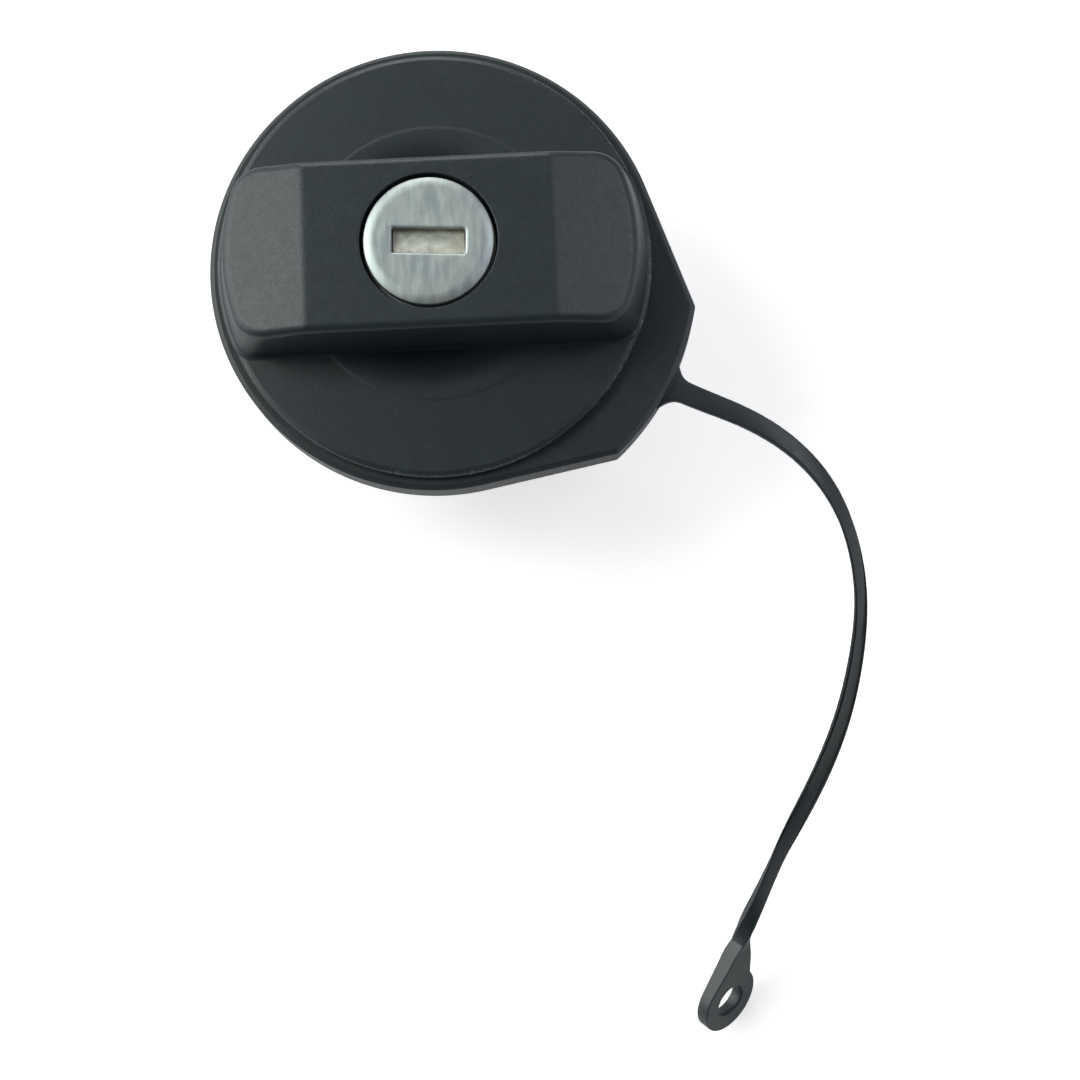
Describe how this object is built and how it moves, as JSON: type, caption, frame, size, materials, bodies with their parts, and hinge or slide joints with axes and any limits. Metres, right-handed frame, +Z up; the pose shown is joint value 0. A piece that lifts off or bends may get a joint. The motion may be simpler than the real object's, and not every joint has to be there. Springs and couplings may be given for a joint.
{
  "type": "fuel filler cap",
  "caption": "Locking fuel filler cap: round head with a grip bar and key lock, valved bayonet stem, and a strap tether with an eyelet.",
  "frame": {"origin": "centre of the stem's foot", "axes": "+Z up the stem to the lock's face, +X along the grip bar towards the strap's side, +Y across the bar, away from the strap's eyelet"},
  "size_m": [0.1174, 0.1836, 0.0562],
  "materials": {
    "slate_plastic": "moulded slate plastic with a fine grain",
    "soft_plastic": "flexible moulded plastic, satin",
    "black_plastic": "glass-filled black plastic",
    "white_plastic": "natural white acetal",
    "cream_plastic": "cream plastic, satin",
    "seal_rubber": "smooth black rubber",
    "die_cast": "bare zinc die casting",
    "steel_face": "brushed along one line, bright rolled rim",
    "steel": "plated steel",
    "brass": "stamped brass"
  },
  "bodies": {
    "stem": {"stem_body": "black_plastic", "seal_ring": "seal_rubber", "valve_cage": "white_plastic", "valve_o_ring": "seal_rubber", "spring_cap": "white_plastic", "pressure_spring": "steel"},
    "pressure_valve": {"pressure_plate": "white_plastic", "pressure_seal": "seal_rubber", "vacuum_spring": "steel"},
    "vacuum_valve": {"vacuum_poppet": "white_plastic", "poppet_nut": "steel"},
    "tether": {"tether_ring": "soft_plastic", "tether_strap": "soft_plastic"},
    "head": {"handle_cover": "slate_plastic", "head_carrier": "black_plastic", "lock_housing": "die_cast", "snap_ring": "steel", "handle_screws": "steel", "housing_screws": "steel"},
    "rotor": {"lock_face": "steel_face", "lock_rotor": "die_cast", "shutter_pin": "steel", "shutter_spring": "steel", "wafer_1": "brass", "wafer_2": "brass", "wafer_3": "brass", "wafer_4": "brass", "wafer_5": "brass", "wafer_spring": "brass", "scroll_cam": "die_cast", "cam_screw": "steel"},
    "shutter": {"dust_shutter": "cream_plastic"},
    "bolt_front": {"lock_bolt_front": "steel"},
    "bolt_rear": {"lock_bolt_rear": "steel"}
  },
  "joints": [
    {"name": "head_turn", "type": "hinge", "parent": "stem", "child": "head", "pos_m": [0, 0, 0.036], "axis": [0, 0, 1], "continuous": true},
    {"name": "tether_swivel", "type": "hinge", "parent": "stem", "child": "tether", "pos_m": [0, 0, 0.038], "axis": [0, 0, 1], "continuous": true},
    {"name": "key_turn", "type": "hinge", "parent": "head", "child": "rotor", "pos_m": [0, 0, 0.05], "axis": [0, 0, 1], "range_deg": [0, 90]},
    {"name": "shutter_flap", "type": "hinge", "parent": "rotor", "child": "shutter", "pos_m": [0, 0.0033, 0.0536], "axis": [1, 0, 0], "range_deg": [0, 80], "stiffness_Nm_per_rad": 0.00002, "springref_deg": -34.38},
    {"name": "bolt_rear_slide", "type": "slide", "parent": "head", "child": "bolt_rear", "axis": [0, 1, 0], "range_m": [0, 0.0016]},
    {"name": "bolt_front_slide", "type": "slide", "parent": "head", "child": "bolt_front", "axis": [0, -1, 0], "range_m": [0, 0.0016]},
    {"name": "pressure_slide", "type": "slide", "parent": "stem", "child": "pressure_valve", "axis": [0, 0, 1], "range_m": [0, 0.003], "stiffness_N_per_m": 180, "springref_m": -0.004, "deforming": ["pressure_spring"]},
    {"name": "vacuum_slide", "type": "slide", "parent": "pressure_valve", "child": "vacuum_valve", "axis": [0, 0, -1], "range_m": [0, 0.0015], "stiffness_N_per_m": 40, "springref_m": -0.004, "deforming": ["vacuum_spring"]}
  ],
  "couplings": [
    {"joint": "bolt_rear_slide", "follows": "key_turn", "m_per_rad": 0.0010186},
    {"joint": "bolt_front_slide", "follows": "key_turn", "m_per_rad": 0.0010186}
  ]
}
